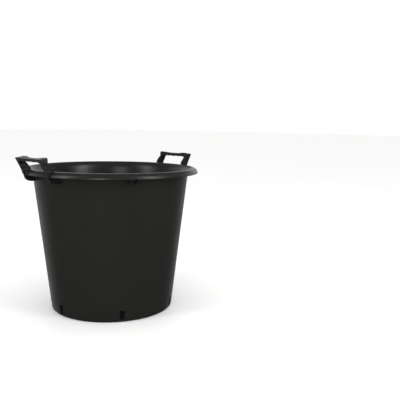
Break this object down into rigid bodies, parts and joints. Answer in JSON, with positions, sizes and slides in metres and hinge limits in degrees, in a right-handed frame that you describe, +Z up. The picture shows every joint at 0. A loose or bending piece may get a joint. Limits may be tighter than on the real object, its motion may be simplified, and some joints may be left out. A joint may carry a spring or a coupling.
{
  "type": "florist bucket",
  "caption": "Round tapered plastic tub with a rolled rim, drain slots round the base and a carrying handle hooked over the rim on each side.",
  "frame": {"origin": "on the ground at the centre of the base", "axes": "+Z up along the tub's axis, X through the middles of the two handles, Y across them"},
  "size_m": [0.4368, 0.4, 0.357],
  "materials": {
    "tub_polypropylene": "satin injection-moulded black polypropylene",
    "handle_polypropylene": "satin injection-moulded black polypropylene"
  },
  "bodies": {
    "root": {"tub": "tub_polypropylene", "right_handle": "handle_polypropylene", "left_handle": "handle_polypropylene"}
  },
  "joints": []
}
